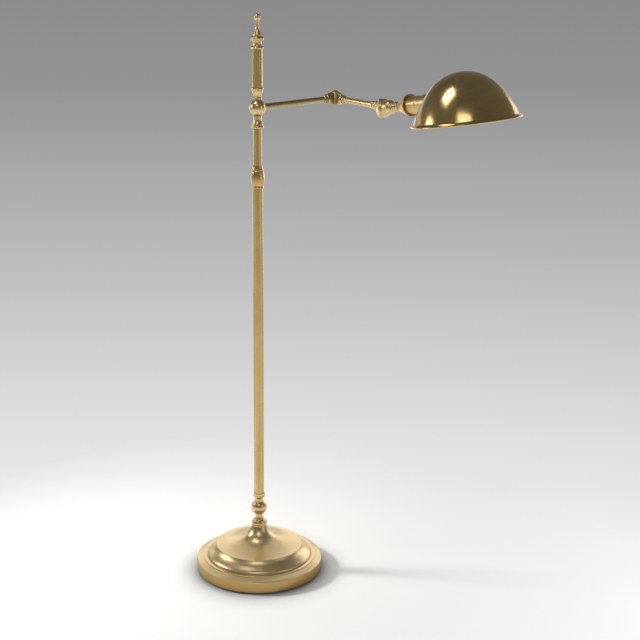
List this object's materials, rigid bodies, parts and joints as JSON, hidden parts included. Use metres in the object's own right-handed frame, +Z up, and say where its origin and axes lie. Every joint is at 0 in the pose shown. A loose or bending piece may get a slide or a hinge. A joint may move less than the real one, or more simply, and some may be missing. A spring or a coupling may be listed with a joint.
{
  "type": "bridge floor lamp",
  "caption": "Floor lamp with a weighted round base, a telescopic pole, a two-part swinging side arm, an inclined swivel and a metal dome shade over a screw lamp socket.",
  "frame": {"origin": "centre of the round base, on the floor under its rubber feet", "axes": "+Z up along the pole, +X to the side that the arm reaches, +Y to the back, where the cord leaves the base"},
  "size_m": [0.6836, 0.4338, 1.2418],
  "materials": {
    "polished_brass": "polished, lightly aged",
    "satin_brass": "spun and satin brushed, lightly aged",
    "brass_tube": "drawn tube, satin, aged",
    "cast_brass": "turned and cast, aged",
    "shell_brass": "bright pressed brass",
    "steel": "zinc plated",
    "dark_steel": "matt black paint",
    "iron": "rough casting",
    "rubber": "matt",
    "black_plastic": "matt",
    "nylon": "natural",
    "white_insulator": "glazed"
  },
  "bodies": {
    "base_post": {"rubber_feet": "rubber", "base_cover": "dark_steel", "base_weight": "iron", "base_shell": "satin_brass", "cord_bushing": "black_plastic", "tie_pipe": "steel", "bottom_washer": "steel", "bottom_nut": "steel", "base_neck": "cast_brass", "foot_plug": "cast_brass", "lower_tube": "brass_tube", "clutch_collar": "cast_brass", "clutch_bush": "nylon"},
    "mast": {"upper_tube": "brass_tube", "guide_ring": "nylon", "hub_lower_bell": "cast_brass", "hub_pipe": "steel", "hub_washers": "nylon", "hub_upper_bell": "cast_brass", "top_sleeve": "brass_tube", "top_cap": "cast_brass", "finial": "cast_brass"},
    "first_arm": {"hub_ball": "cast_brass", "first_arm_tube": "brass_tube", "elbow_lower": "cast_brass", "elbow_screw": "cast_brass", "elbow_washer": "nylon"},
    "second_arm": {"elbow_upper": "cast_brass", "second_arm_tube": "brass_tube", "swivel_base": "cast_brass", "swivel_washer": "nylon"},
    "knuckle": {"swivel_head": "cast_brass", "stop_screw": "steel", "stem_pipe": "steel", "stem_nut": "steel", "turn_washers": "nylon"},
    "lamp_head": {"holder_cup": "cast_brass", "holder_housing": "brass_tube", "socket_insulator": "white_insulator", "holder_screws": "steel", "screw_shell": "shell_brass", "centre_contact": "shell_brass", "shade_gallery": "cast_brass", "shade_ring": "cast_brass", "shade": "polished_brass"}
  },
  "joints": [
    {"name": "height_slide", "type": "slide", "parent": "base_post", "child": "mast", "axis": [0, 0, 1], "range_m": [-0.075, 0.33]},
    {"name": "hub_swing", "type": "hinge", "parent": "mast", "child": "first_arm", "pos_m": [0, 0, 1.047], "axis": [0, 0, 1], "range_deg": [-165, 165]},
    {"name": "elbow_swing", "type": "hinge", "parent": "first_arm", "child": "second_arm", "pos_m": [0.15345, 0.16456, 1.047], "axis": [0, 0, 1], "range_deg": [-32, 205]},
    {"name": "swivel_turn", "type": "hinge", "parent": "second_arm", "child": "knuckle", "pos_m": [0.25973, 0.04229, 1.044], "axis": [0.9976, -0.0698, 0], "range_deg": [-110, 135]},
    {"name": "head_turn", "type": "hinge", "parent": "knuckle", "child": "lamp_head", "pos_m": [0.28818, 0.01064, 1.05171], "axis": [0.6577, -0.7319, 0.1782], "range_deg": [-160, 160]}
  ]
}
